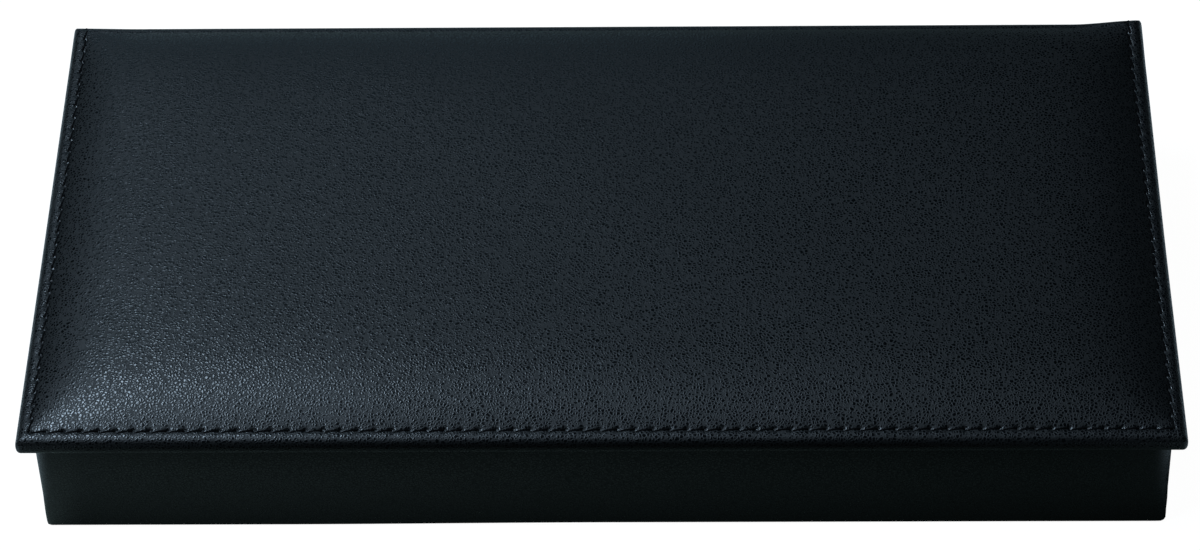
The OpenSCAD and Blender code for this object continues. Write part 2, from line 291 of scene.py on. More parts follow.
soft_light("strip_light", direction=(-0.379, 0.075, 0.922), away=1.0,
           width=1.0, depth=0.14, power=9.2, tint=(0.62, 0.81, 1.0))
soft_light("wall_glow", direction=(-0.256, 0.955, 0.147), away=1.0,
           width=0.65, depth=1.50, power=0.95, tint=(0.50, 0.78, 1.0))

# %% [markdown]
# ## Floor
# A floor under a cut-out picture is white to the eye, but a white floor would flood the black tray with
# light from below. A studio lays black card in front of such a box, just out of the picture, and leaves the
# table white at both sides, so that the corners catch a thin glow. A Light Path node does the same here:
# the camera sees a pale floor, and every other ray sees the card and the table. The room itself is nearly
# dark.

# %% Lay the floor and set the room's own light
def camera_only(tree, seen, unseen):
    """Joins two shaders: the camera sees the first, and lights and reflections meet the second."""
    path = tree.nodes.new("ShaderNodeLightPath")
    mix = tree.nodes.new("ShaderNodeMixShader")
    tree.links.new(path.outputs["Is Camera Ray"], mix.inputs["Fac"])
    tree.links.new(unseen.outputs[0], mix.inputs[1])
    tree.links.new(seen.outputs[0], mix.inputs[2])
    return mix

room = bpy.data.worlds.new("room")
bpy.context.scene.world = room
room.use_nodes = True
room.node_tree.nodes.clear()
pale, dim = (room.node_tree.nodes.new("ShaderNodeBackground") for _ in range(2))
pale.inputs["Color"].default_value = (1, 1, 1, 1)
dim.inputs["Color"].default_value = (0.6, 0.85, 0.9, 1)
dim.inputs["Strength"].default_value = 0.02  # next to nothing, so the lamps do the drawing
room_out = room.node_tree.nodes.new("ShaderNodeOutputWorld")
room.node_tree.links.new(camera_only(room.node_tree, pale, dim).outputs[0], room_out.inputs[0])

floor_size = 12.0
card_edge = -0.093  # the black card lies in front of this line
table_edge = 0.126  # the white table shows further out than this, at both sides
card_fade, table_fade = 0.016, 0.024  # how far each edge takes to blend
box_side = 0.14  # how far out the pale floor is graded, from left to right
bpy.ops.mesh.primitive_plane_add(size=floor_size, location=(0, 0, 0))
floor = bpy.context.object
floor.name = "floor"
floor_look = bpy.data.materials.new("pale_floor")
floor_look.use_nodes = True
floor_tree = floor_look.node_tree
floor_tree.nodes.clear()
glow = floor_tree.nodes.new("ShaderNodeEmission")
glow.inputs["Color"].default_value = (1, 1, 1, 1)
glow.inputs["Strength"].default_value = 0.985
matt, hidden = (floor_tree.nodes.new("ShaderNodeBsdfDiffuse") for _ in range(2))
matt.inputs["Color"].default_value = (0.12, 0.12, 0.12, 1)
place = floor_tree.nodes.new("ShaderNodeTexCoord")
across_floor = node(floor_tree, "ShaderNodeSeparateXYZ", [(place.outputs["Object"], "Vector")])
# Painted light: the floor that only reflections see runs from lighter at the left, under the lamp, to darker
# at the right.
painted_light_to_right = node(floor_tree, "ShaderNodeMapRange", [(across_floor.outputs["X"], "Value")],
                From_Min=-box_side, From_Max=box_side)
past_card = node(floor_tree, "ShaderNodeMapRange", [(across_floor.outputs["Y"], "Value")],
                 interpolation_type="SMOOTHSTEP", From_Min=card_edge, From_Max=card_edge + card_fade)
pale_floor = blend_colours(floor_tree, painted_light_to_right.outputs["Result"], (0.44, 0.49, 0.41), (0.18, 0.21, 0.17))
under_box = blend_colours(floor_tree, past_card.outputs["Result"], (0.012, 0.014, 0.012), pale_floor)
sideways = maths(floor_tree, "ABSOLUTE", across_floor.outputs["X"])
beside = node(floor_tree, "ShaderNodeMapRange", [(sideways, "Value")], interpolation_type="SMOOTHSTEP",
              From_Min=table_edge, From_Max=table_edge + table_fade)
floor_tree.links.new(blend_colours(floor_tree, beside.outputs["Result"], under_box, (0.86, 0.90, 0.86)),
                     hidden.inputs["Color"])
both = floor_tree.nodes.new("ShaderNodeAddShader")
floor_tree.links.new(glow.outputs[0], both.inputs[0])
floor_tree.links.new(matt.outputs[0], both.inputs[1])
floor_out = floor_tree.nodes.new("ShaderNodeOutputMaterial")
floor_tree.links.new(camera_only(floor_tree, both, hidden).outputs[0], floor_out.inputs["Surface"])
floor.data.materials.append(floor_look)
bpy.context.scene.view_settings.view_transform = "Standard"
print("floor", floor_size, "m wide")

# %% [markdown]
# ### Black leather
# The hide is dyed nearly black with a touch of blue, and finished with a satin wax. The furrows hold no
# wax, so they are much rougher than the pebbles; their colour is a little darker, which is painted shade.
# The tray's leather is the same hide, pulled flat over board, so its grain is stretched shallower.

# %% Make the leathers
def leather(name, high, low, pebble_size, depth, shine, dull):
    """Black leather: high colours pebbles, low is painted shade in furrows; shine and dull are roughness."""
    look, tree, shader = start_material(name, IOR=1.46)
    hide = place_group(tree, grain, Pebble_Size=pebble_size)
    toned = blend_colours(tree, hide["Tone"], tuple(0.75 * c for c in high), high)
    # Painted shade: the furrow mask darkens the colour to low, for the shade that falls in the furrows.
    tree.links.new(blend_colours(tree, hide["Furrow"], toned, low), shader.inputs["Base Color"])
    tree.links.new(ranged(tree, hide["Furrow"], shine, dull), shader.inputs["Roughness"])
    add_bump(tree, shader, hide["Height"], depth)
    return look

pebble_across = 0.7 * mm
# The low colours below are the furrows' painted shade.
lid_hide = leather("lid_leather", high=(0.0020, 0.0028, 0.0036), low=(0.0006, 0.0008, 0.0010),
                   pebble_size=pebble_across, depth=0.036 * mm, shine=0.17, dull=0.60)
tray_hide = leather("tray_leather", high=(0.0030, 0.0042, 0.0042), low=(0.0010, 0.0014, 0.0014),
                    pebble_size=pebble_across, depth=0.012 * mm, shine=0.22, dull=0.5)
print("leathers ready")

# %% [markdown]
# ### Thread, suede, felt, mirror and the hidden boards
# The thread is waxed black, matt beside the leather. The lining is a grey suede whose sheen, the pale bloom
# that fibres show at a grazing angle, is one value on the shader. The mirror is a metal with almost no
# roughness. Boards and card never show when the box is whole, but they are real pieces, so they get a plain
# honest finish.

# %% Make the other materials
def fibrous(name, light, dark, fibre_size, patch_size, depth, sheen, gloss=0.5):
    """Fine specks and broad patches, as on cloth, board and bare metal. gloss is the specular level."""
    look, tree, shader = start_material(name, Sheen_Weight=sheen, Sheen_Roughness=0.6,
                                        Specular_IOR_Level=gloss)
    fibres = place_group(tree, nap, Fibre_Size=fibre_size, Patch_Size=patch_size)
    brushed = blend_colours(tree, fibres["Patch"], tuple(0.8 * c for c in light), light)
    lightness = ranged(tree, fibres["Speck"], 1.0, 0.0)
    tree.links.new(blend_colours(tree, lightness, brushed, dark), shader.inputs["Base Color"])
    tree.links.new(ranged(tree, fibres["Patch"], 0.95, 0.85), shader.inputs["Roughness"])
    add_bump(tree, shader, fibres["Height"], depth)
    return look

thread_look = fibrous("black_thread", (0.004, 0.004, 0.0045), (0.001, 0.001, 0.001),
                      0.2 * mm, 3 * mm, 0.05 * mm, 0.0, gloss=0.06)
suede = fibrous("grey_suede", (0.24, 0.22, 0.20), (0.09, 0.08, 0.075), 0.35 * mm, 18 * mm, 0.12 * mm, 0.35)
felt = fibrous("black_felt", (0.02, 0.02, 0.021), (0.004, 0.004, 0.004), 0.6 * mm, 12 * mm, 0.2 * mm, 0.2)
board = fibrous("fibreboard", (0.40, 0.27, 0.15), (0.2, 0.12, 0.06), 0.8 * mm, 9 * mm, 0.05 * mm, 0.0)
card = fibrous("grey_card", (0.33, 0.33, 0.31), (0.2, 0.2, 0.19), 0.5 * mm, 14 * mm, 0.02 * mm, 0.0)
foam = fibrous("pale_foam", (0.78, 0.74, 0.62), (0.4, 0.37, 0.3), 1.2 * mm, 30 * mm, 0.4 * mm, 0.0)
steel = fibrous("plain_steel", (0.5, 0.5, 0.51), (0.32, 0.32, 0.33), 2 * mm, 20 * mm, 0.005 * mm, 0.0)
nickel = fibrous("nickel_plate", (0.66, 0.64, 0.60), (0.5, 0.48, 0.45), 1 * mm, 12 * mm, 0.003 * mm, 0.0)
for metal in (steel, nickel):
    metal.node_tree.nodes["Principled BSDF"].inputs["Metallic"].default_value = 1.0

mirror_look, mirror_tree, mirror_shader = start_material("mirror_glass", Metallic=1.0)
smears = place_group(mirror_tree, nap, Fibre_Size=4 * mm, Patch_Size=25 * mm)
mirror_tree.links.new(ranged(mirror_tree, smears["Patch"], 0.015, 0.045), mirror_shader.inputs["Roughness"])
mirror_tree.links.new(blend_colours(mirror_tree, smears["Speck"], (0.86, 0.89, 0.88), (0.9, 0.92, 0.92)),
                      mirror_shader.inputs["Base Color"])
print("materials:", len(bpy.data.materials))

# %% [markdown]
# ## Meshes from rings
# A covered edge is a profile swept round a rectangle. The mesh is a stack of rings: each ring goes once
# round the box with the same number of points, and neighbouring rings are joined by quads. Where the
# surface needs less detail, the next ring has half the points. A ring's corners are rounded by clamping
# each point to an inner rectangle and pushing it out again to the radius.

# %% Helpers for meshes
def ring(x0, x1, y0, y1, radius, along_x, along_y):
    """Points round a rectangle, counter-clockwise from the front left corner, with its corners rounded."""
    u, v = np.arange(along_x) / along_x, np.arange(along_y) / along_y
    sides = [(x0 + (x1 - x0) * u, y0 + 0 * u), (x1 + 0 * v, y0 + (y1 - y0) * v),
             (x1 - (x1 - x0) * u, y1 + 0 * u), (x0 + 0 * v, y1 - (y1 - y0) * v)]
    points = np.concatenate([np.column_stack(side) for side in sides])
    r = radius(points) if callable(radius) else np.full(len(points), max(radius, 0.0))
    low, high = np.column_stack([x0 + r, y0 + r]), np.column_stack([x1 - r, y1 - r])
    core = np.clip(points, low, high)
    out = points - core
    length = np.maximum(np.linalg.norm(out, axis=1), 1e-9)
    return core + out * (r / length)[:, None]

def join_rings(rings):
    """Faces between rings of points, each ring with as many points as the last, or half as many."""
    faces, start = [], 0
    for outer, inner in zip(rings, rings[1:]):
        n, m = len(outer), len(inner)
        a, b = start + np.arange(n), start + n + np.arange(m)
        if n == m:
            faces += np.column_stack([a, np.roll(a, -1), np.roll(b, -1), b]).tolist()
        else:
            faces += np.column_stack([a[::2], a[1::2], np.roll(a, -2)[::2], np.roll(b, -1), b]).tolist()
        start += n
    return faces

def sheet_quads(index):
    """Quads between the neighbours in a grid of point numbers."""
    corners = [index[:-1, :-1], index[:-1, 1:], index[1:, 1:], index[1:, :-1]]
    return np.stack(corners, -1).reshape(-1, 4)

def sleeve(slices, sides):
    """Faces of a closed sleeve: quads between loops of points, and a cap at each end."""
    index = np.arange(slices * sides).reshape(slices, sides)
    a, b = index[:-1], index[1:]
    quads = np.stack([a, np.roll(a, -1, 1), np.roll(b, -1, 1), b], -1).reshape(-1, 4).tolist()
    return quads + [index[0][::-1].tolist(), index[-1].tolist()]

def fill_ring(start, along_x, along_y):
    """Faces of the grid that fills a ring. The inner points follow the ring, whose first point is start."""
    index = np.full((along_y + 1, along_x + 1), -1)
    index[0, :-1] = start + np.arange(along_x)
    index[:-1, -1] = start + along_x + np.arange(along_y)
    index[-1, :0:-1] = start + along_x + along_y + np.arange(along_x)
    index[:0:-1, 0] = start + 2 * along_x + along_y + np.arange(along_y)
    inside = start + 2 * (along_x + along_y)
    index[1:-1, 1:-1] = inside + np.arange((along_x - 1) * (along_y - 1)).reshape(along_y - 1, along_x - 1)
    return sheet_quads(index).tolist()

def make_piece(name, points, faces, look):
    """A smooth mesh object in the frame's own space, with its normals facing out."""
    mesh = bpy.data.meshes.new(name)
    mesh.from_pydata(np.asarray(points).tolist(), [], faces)
    work = bmesh.new()
    work.from_mesh(mesh)
    bmesh.ops.recalc_face_normals(work, faces=work.faces)
    work.to_mesh(mesh)
    work.free()
    mesh.shade_smooth()
    mesh.materials.append(look)
    piece = bpy.data.objects.new(name, mesh)
    bpy.context.scene.collection.objects.link(piece)
    return piece

def smoothstep(value):
    """0 below 0, 1 above 1, and a soft S between."""
    t = np.clip(value, 0, 1)
    return t * t * (3 - 2 * t)

print("mesh helpers ready")

# %% [markdown]
# ## How the padded top settles
# The leather is pulled over a foam pad and held down all round by the stitches and the back edge. Blender's
# Cloth could find such a shape, but a sheet fine enough for stitches has a great many points to move. The
# physics is simple enough to solve directly: at each point the leather's tension pulls the surface flat,
# and the foam pushes it up to the pad's own height. Averaging each point with its neighbours, again and
# again, settles into the shape. The reach says how far from a stitch row the foam needs to lift the
# leather.

# %% Solve the padded top
reach = 8.0 * mm
grid_step = 0.75 * mm
pad_rise = 0.80 * (crown_top - edge_top)
grid_x = np.linspace(-row_x, row_x, int(2 * row_x / grid_step) + 1)
back_stop = lid_y - 2.2 * mm
grid_y = np.linspace(-row_y, back_stop, int((row_y + back_stop) / grid_step) + 1)
gx, gy = np.meshgrid(grid_x, grid_y)
uneven = sum(0.10 * mm * np.sin(gx / length + phase) * np.cos(gy / length * 1.3 + 2 * phase)
             for length, phase in ((17 * mm, 0.4), (11 * mm, 2.1), (26 * mm, 4.0)))
pad = pad_rise + uneven
side_fall = (1 - np.exp(-(row_x - abs(gx)) / reach))
end_fall = (1 - np.exp(-(gy + row_y) / reach)) * (1 - np.exp(-(back_stop - gy) / reach))
settled = pad * side_fall * end_fall
pull = (reach / grid_step) ** 2
sweeps = 900
for _ in range(sweeps):
    around = settled[:-2, 1:-1] + settled[2:, 1:-1] + settled[1:-1, :-2] + settled[1:-1, 2:]
    settled[1:-1, 1:-1] = (pad[1:-1, 1:-1] + pull * around) / (1 + 4 * pull)
print("padded top rises", round(settled.max() / mm, 2), "mm")
print(settled.size, "points settled in", sweeps, "sweeps")

def padded_rise(x, y):
    """The settled height at any points, read between the grid's own points."""
    u = np.clip((x - grid_x[0]) / (grid_x[1] - grid_x[0]), 0, len(grid_x) - 1.001)
    v = np.clip((y - grid_y[0]) / (grid_y[1] - grid_y[0]), 0, len(grid_y) - 1.001)
    i, j = u.astype(int), v.astype(int)
    fu, fv = u - i, v - j
    low = settled[j, i] * (1 - fu) + settled[j, i + 1] * fu
    high = settled[j + 1, i] * (1 - fu) + settled[j + 1, i + 1] * fu
    return low * (1 - fv) + high * fv

# %% [markdown]
# ## Where the stitches go
# One line of sewing starts at the back left, comes forward, turns along the front and goes back along the
# right. On both sides it carries on over the back edge, because the same hide becomes the hinge. Each
# needle hole pulls the leather into a pit, the thread lies in a shallow groove, and the hide swells a
# little between the holes. The pitch is fitted so that a hole falls exactly in each front corner.

# %% Lay out the sewing
usual_pitch = 3.7 * mm
front_count = round(2 * row_x / usual_pitch)
front_pitch = 2 * row_x / front_count
per_stitch = 10  # mesh points along one stitch
side_points = 4 * round((2 * row_y) / (front_pitch / per_stitch) / 4)
side_pitch = 2 * row_y / side_points * per_stitch
print(front_count, "stitches along the front, pitch", round(front_pitch / mm, 3), "mm")
print("side pitch", round(side_pitch / mm, 3), "mm")

thread_start, thread_end = -0.25 * mm, 0.35 * mm

def sewn_dip(x, y):
    """How far the sewing pulls the leather down: a groove, pits at the holes, and puckers between them."""
    dip = np.zeros_like(x)
    for along, across, pitch, low, high in (
            (x, y + row_y, front_pitch, -row_x, row_x),
            (y, x + row_x, side_pitch, -row_y, 1.0),
            (y, row_x - x, side_pitch, -row_y, 1.0)):
        phase = (along - low) / pitch
        to_hole = (phase - np.round(phase)) * pitch
        within = smoothstep((along - low) / (0.4 * mm) + 1) * smoothstep((high - along) / (0.4 * mm) + 1)
        lean = thread_start + (thread_end - thread_start) * (phase - np.floor(phase))
        groove = 0.13 * mm * np.exp(-((across - lean) / (0.20 * mm)) ** 2)
        pit = 0.45 * mm * np.exp(-((to_hole / (0.38 * mm)) ** 2 + ((across - thread_end) / (0.26 * mm)) ** 2))
        pucker = 0.09 * mm * np.cos(2 * np.pi * phase) * np.exp(-abs(across) / (1.1 * mm))
        dip = np.maximum(dip, within * (groove + pit)) + within * pucker
    return dip

# %% [markdown]
# ## The lid's leather
# The profile starts inside, where the leather is turned in under the board. It rolls round the lower edge,
# climbs the edge's face, rolls over the shoulder and meets the stitches, and from there the settled top
# takes over. Along the back the hide goes straight down to the hinge, so the lower roll there is much
# tighter.

# %% Build the lid's leather
shoulder_r = 2.1 * mm
lower_in, lip_rise = 0.75 * mm, 1.3 * mm
turned_in = 12 * mm
widest = edge_t - shoulder_r

def lid_radius(inset):
    """Corner radius at each point: the folded back corners are tighter than the mitred front ones."""
    return lambda points: np.maximum(np.where(points[:, 1] < 0, 1.1 * mm, 0.7 * mm) - inset, 0.15 * mm)

def corner_swell(points):
    """Folded hide stands a little proud at the back corners, and most on the right."""
    x, y, z = points.T
    near_back = smoothstep((y - lid_y + 14 * mm) / (14 * mm))
    near_end = smoothstep((abs(x) - lid_x + 16 * mm) / (16 * mm))
    height = np.clip((z - underside) / edge_t, 0, 1)
    lift = np.where(x > 0, 1.45 * mm, 0.36 * mm) * near_back * near_end * height
    proud = np.where(x > 0, 0.38 * mm, 0.12 * mm)
    on_edge = smoothstep((abs(x) - lid_x + 4 * mm) / (4 * mm))
    out = proud * on_edge * smoothstep((y + 20 * mm) / (lid_y + 20 * mm))
    return np.column_stack([x + np.sign(x) * out, y, z + lift])

def lid_ring(inset, height, back_inset, back_height, share=1):
    """One ring of the lid's leather. The back edge has its own inset and height."""
    flat = ring(-lid_x + inset, lid_x - inset, -lid_y + inset, lid_y - back_inset, lid_radius(inset),
                per_stitch * front_count // share, side_points // share)
    back = smoothstep((flat[:, 1] - lid_y + 6 * mm) / (5 * mm))
    return np.column_stack([flat, underside + height * (1 - back) + back_height * back])

def top_ring(inset, share=1):
    """One ring of the lid's leather on its upper side, where the padding and the sewing shape it."""
    reached = min(inset, shoulder_r)
    rise = widest + math.sqrt(shoulder_r ** 2 - (shoulder_r - reached) ** 2)
    points = lid_ring(inset, rise, inset, rise, share)
    x, y = points[:, 0], points[:, 1]
    padding = padded_rise(x, y) * (inset > row_inset - 1e-6)
    points[:, 2] += padding - sewn_dip(x, y) * smoothstep(inset / (1.5 * mm))
    return points

lid_rings = [lid_ring(turned_in * t, 0, turned_in * t, 0) for t in (1.0, 0.5, 0.25)]
for angle in np.radians(np.linspace(90, 9, 10)):
    height = lip_rise * (1 - math.sin(angle))
    back_in = 0.15 * mm * max(1 - height / (0.2 * mm), 0) ** 2
    lid_rings.append(lid_ring(lower_in * (1 - math.cos(angle)), height, back_in, height))
lid_rings += [top_ring(shoulder_r * (1 - math.cos(a))) for a in np.radians(np.linspace(0, 90, 9))]
close_to_seam = (2.35, 2.55, 2.7, 2.85, 3.0, 3.15, 3.3, 3.45, 3.65, 3.9, 4.3, 4.8)
past_seam = (5.5, 6.2, 7.1)
lid_rings += [top_ring(inset * mm) for inset in close_to_seam]
lid_rings += [top_ring(inset * mm, 2) for inset in past_seam]
last_inset = 8.4 * mm
last_x, last_y = per_stitch * front_count // 4, side_points // 4
lid_rings.append(top_ring(last_inset, 4))
ring_points = np.concatenate(lid_rings)
inner_x = np.linspace(-lid_x + last_inset, lid_x - last_inset, last_x + 1)[1:-1]
inner_y = np.linspace(-lid_y + last_inset, lid_y - last_inset, last_y + 1)[1:-1]
ix, iy = (a.ravel() for a in np.meshgrid(inner_x, inner_y))
field = np.column_stack([ix, iy, edge_top + padded_rise(ix, iy)])
lid_faces = join_rings(lid_rings) + fill_ring(len(ring_points) - len(lid_rings[-1]), last_x, last_y)
lid_cover = make_piece("lid_cover", corner_swell(np.concatenate([ring_points, field])), lid_faces, lid_hide)
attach(lid_cover, "lid")
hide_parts("lid_leather")
print("lid cover has", len(lid_faces), "faces")

# %% [markdown]
# ## The pad under the leather
# The foam is cut from sheet and fills the space between the board and the leather. Its top is the settled
# shape, one leather's thickness down, so it never pokes through.

# %% Build the pad
board_low, board_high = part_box("lid_board")
pad_x, pad_y = row_x - 0.6 * mm, row_y - 0.6 * mm
pad_nx, pad_ny = 96, 48
pad_rings = []
for inset, top in ((30, 0), (0, 0), (0.2, 0.5), (1.2, 1.0), (3, 1.0)):
    half_x, half_y = pad_x - inset * mm, pad_y - inset * mm
    flat = ring(-half_x, half_x, -half_y, half_y, 0, pad_nx, pad_ny)
    rise = np.maximum(edge_top + padded_rise(flat[:, 0], flat[:, 1]) - leather_t - board_high.z, 0.15 * mm)
    pad_rings.append(np.column_stack([flat, board_high.z + top * rise]))
px, py = (a.ravel() for a in np.meshgrid(np.linspace(-pad_x + 3 * mm, pad_x - 3 * mm, pad_nx + 1)[1:-1],
                                         np.linspace(-pad_y + 3 * mm, pad_y - 3 * mm, pad_ny + 1)[1:-1]))
pad_ring_points = np.concatenate(pad_rings)
pad_top = np.column_stack([px, py, edge_top + padded_rise(px, py) - leather_t])
pad_faces = join_rings(pad_rings) + fill_ring(len(pad_ring_points) - len(pad_rings[-1]), pad_nx, pad_ny)
lid_pad = make_piece("lid_pad", np.concatenate([pad_ring_points, pad_top]), pad_faces, foam)
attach(lid_pad, "lid")
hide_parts("lid_foam")
print("pad has", len(pad_faces), "faces")

# %% [markdown]
# ## Thread
# Each stitch is a short tube of thread. It comes up out of one hole, lies slanting across the groove and
# goes down the next. A path function gives the place, the direction along the row and the way up for any
# distance along the sewing, which lets the same stitch follow the flat rows and the bend over the back
# edge.

# %% A helper that sews
def tube(centres, radii, sides=8):
    """Points and quads of a tube along a line of centres."""
    centres = np.asarray(centres)
    along = np.gradient(centres, axis=0)
    along /= np.linalg.norm(along, axis=1)[:, None]
    first = np.cross(along, along[len(along) // 2] + np.array([0.31, 0.17, 0.93]))
    first /= np.linalg.norm(first, axis=1)[:, None]
    second = np.cross(along, first)
    turn_round = np.linspace(0, 2 * np.pi, sides, endpoint=False)
    outward = (np.cos(turn_round)[None, :, None] * first[:, None]
               + np.sin(turn_round)[None, :, None] * second[:, None])
    points = centres[:, None] + np.asarray(radii)[:, None, None] * outward
    return points.reshape(-1, 3), sleeve(len(centres), sides)

def sew(path, count, pitch, sink=0.6 * mm, lie=0.13 * mm):
    """Stitches along a path: path(s) gives (place, across, up) at distance s, where across points inwards."""
    points, faces = [], []
    for number in range(count):
        centres = []
        for t in np.linspace(0.03, 0.97, 9):
            place, across, up = path((number + t) * pitch)
            hump = 1 - abs(2 * t - 1) ** 5
            aside = thread_start + (thread_end - thread_start) * t
            centres.append(place + across * aside + up * (-sink + (sink - lie) * hump))
        radii = thread_r * (0.72 + 0.28 * np.sin(np.pi * np.linspace(0.03, 0.97, 9)))
        p, f = tube(centres, radii)
        faces += [[i + sum(map(len, points)) for i in face] for face in f]
        points.append(p)
    return np.concatenate(points), faces

def front_path(s):
    """The front row, from left to right."""
    return np.array([-row_x + s, -row_y, edge_top]), np.array([0, 1, 0]), np.array([0, 0, 1])

def side_path(side):
    """A side row, from the front corner to the back and down over the back edge."""
    turn_at = 2 * row_y + row_inset - shoulder_r
    quarter = shoulder_r * math.pi / 2
    def path(s):
        inward = np.array([-side, 0, 0])
        if s <= turn_at:
            return np.array([side * row_x, -row_y + s, edge_top]), inward, np.array([0, 0, 1])
        angle = min((s - turn_at) / shoulder_r, math.pi / 2)
        up = np.array([0, math.sin(angle), math.cos(angle)])
        centre = np.array([side * row_x, lid_y - shoulder_r, underside + widest])
        return centre + up * shoulder_r - np.array([0, 0, max(s - turn_at - quarter, 0)]), inward, up
    return path

def sewn_piece(name, rows, body, replaced, shape=lambda points: points):
    """Joins rows of stitches into one piece of thread, which may then follow a change of shape."""
    points, faces, start = [], [], 0
    for p, f in rows:
        faces += [[i + start for i in face] for face in f]
        points.append(p)
        start += len(p)
    thread = make_piece(name, shape(np.concatenate(points)), faces, thread_look)
    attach(thread, body)
    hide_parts(replaced)
    print(name, "has", len(faces), "faces")
    return thread

# %% [markdown]
# ## The lid's seam
# One thread goes down the left side, along the front and up the right side, and then over the back edge. It
# lies on the leather, so the finished rows are lifted by the same settled height and the same corners as
# the hide.

# %% Sew the lid
def follow_padding(points):
    """Lifts the thread with the leather that it lies on, and then with the corners."""
    lifted = points.copy()
    lifted[:, 2] += padded_rise(points[:, 0], points[:, 1])
    return corner_swell(lifted)

side_length = 2 * row_y + row_inset - shoulder_r + shoulder_r * math.pi / 2 + widest
side_count = int(side_length / side_pitch)
sewn_piece("lid_thread", [sew(front_path, front_count, front_pitch),
                          sew(side_path(-1), side_count, side_pitch),
                          sew(side_path(1), side_count, side_pitch)], "lid", "lid_stitching", follow_padding)

# %% [markdown]
# ## The tray's leather
# One strip of hide goes round the walls. It starts inside the rim, rolls over the top, comes down the
# outside and is turned in under the bottom board. Glued leather is never dead flat: it fills out slightly
# in the middle of a wall, and most at the right end, where the hide was folded over the corner. The front
# left corner was pulled tighter than the others, so its radius is smaller.

# %% Build the tray's leather
tray_x = tray_high.x
tray_y0, tray_y1 = tray_low.y, tray_high.y
tray_bottom, rim_r, foot_r = tray_low.z, 0.8 * mm, 0.45 * mm
lip_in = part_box("left_wall")[1].x + tray_x + leather_t
lip_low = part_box("left_lining")[1].z

def tray_ring(inset, z, swell=0.0):
    """One ring of the tray's leather."""
    height = np.clip((z - tray_bottom) / (rim - tray_bottom), 0, 1)
    upper = smoothstep(2 * height)
    def radius(points):
        left_front = (points[:, 0] < 0) & (points[:, 1] < 0)
        right_front = (points[:, 0] > 0) & (points[:, 1] < 0)
        full = np.where(left_front, 1.0 + 1.4 * upper, np.where(right_front, 1.5 + 1.9 * upper, 3.0))
        return np.maximum(full * mm - inset, 0.3 * mm)
    flat = ring(-tray_x + inset, tray_x - inset, tray_y0 + inset, tray_y1 - inset, radius, 240, 126)
    out = flat - np.clip(flat, [-tray_x + 5 * mm, tray_y0 + 5 * mm], [tray_x - 5 * mm, tray_y1 - 5 * mm])
    out /= np.maximum(np.linalg.norm(out, axis=1), 1e-9)[:, None]
    ripple = 0.75 + 0.25 * np.sin(flat[:, 0] / (21 * mm) + 1.0) * np.cos(flat[:, 1] / (17 * mm))
    flat += out * (swell * ripple)[:, None] * (flat[:, 1] < tray_y1 - 6 * mm)[:, None]
    outside = smoothstep(1 - inset / (6 * mm))
    fuller = (0.95 + 0.5 * (1 - height)) * mm * outside
    left = 0.30 * mm * outside * smoothstep((-flat[:, 0] - tray_x + 16 * mm) / (16 * mm))
    flat[:, 0] += fuller * smoothstep((flat[:, 0] - tray_x + 16 * mm) / (16 * mm)) - left
    flat[:, 1] -= 0.35 * mm * smoothstep(-flat[:, 0] / (70 * mm)) * smoothstep(-flat[:, 1] / (40 * mm))
    return np.column_stack([flat, np.full(len(flat), z)])

tray_rings = [tray_ring(lip_in, lip_low), tray_ring(lip_in, (lip_low + rim) / 2)]
for angle in np.radians(np.linspace(0, 90, 5)):
    tray_rings.append(tray_ring(lip_in - rim_r * (1 - math.cos(angle)), rim - rim_r * (1 - math.sin(angle))))
for angle in np.radians(np.linspace(90, 0, 5)):
    tray_rings.append(tray_ring(rim_r * (1 - math.cos(angle)), rim - rim_r * (1 - math.sin(angle))))
wall_top, wall_foot = rim - rim_r, tray_bottom + foot_r
for t in np.linspace(0.08, 0.94, 11):
    fill_out = 0.16 * mm * math.sin(math.pi * t) ** 0.6
    tray_rings.append(tray_ring(0, wall_top + (wall_foot - wall_top) * t, fill_out))
for angle in np.radians(np.linspace(0, 90, 7)):
    tray_rings.append(tray_ring(foot_r * (1 - math.cos(angle)), wall_foot - foot_r * math.sin(angle)))
tray_rings += [tray_ring(inset * mm, tray_bottom) for inset in (4, 8, 13)]
tray_cover = make_piece("tray_cover", np.concatenate(tray_rings), join_rings(tray_rings), tray_hide)
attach(tray_cover, "base")
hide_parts("base_leather")
print("tray cover has", len(tray_cover.data.polygons), "faces")

# %% [markdown]
# ## The leather hinge
# Behind the lid the hide bends and runs down the tray's back wall, where it is glued and sewn. When the lid
# opens, only a narrow strip between lid and rim bends. So the mesh has many close rows there. The top is
# tucked inside the lid's leather.

# %% Build the hinge
fold_low, fold_high = rim - 0.10 * mm, underside + 0.10 * mm
hinge_x, hinge_y0, hinge_y1 = flap_high.x, flap_low.y, flap_high.y
glued_rows = np.linspace(flap_low.z + 0.3 * mm, fold_low - 1 * mm, 22)
rim_rows = np.linspace(fold_low - 0.6 * mm, fold_low, 3)
bending_rows = np.linspace(fold_low, fold_high, 12)[1:]
tucked_rows = [underside + 0.5 * mm, underside + 1.0 * mm]
heights = np.concatenate([glued_rows, rim_rows, bending_rows, tucked_rows])
columns = np.linspace(-hinge_x, hinge_x, 321)
flap_row_x, flap_row_z = hinge_x - row_inset, flap_low.z + row_inset
flap_count = round(2 * flap_row_x / usual_pitch)
flap_pitch = 2 * flap_row_x / flap_count
seam_top = rim - 2 * mm

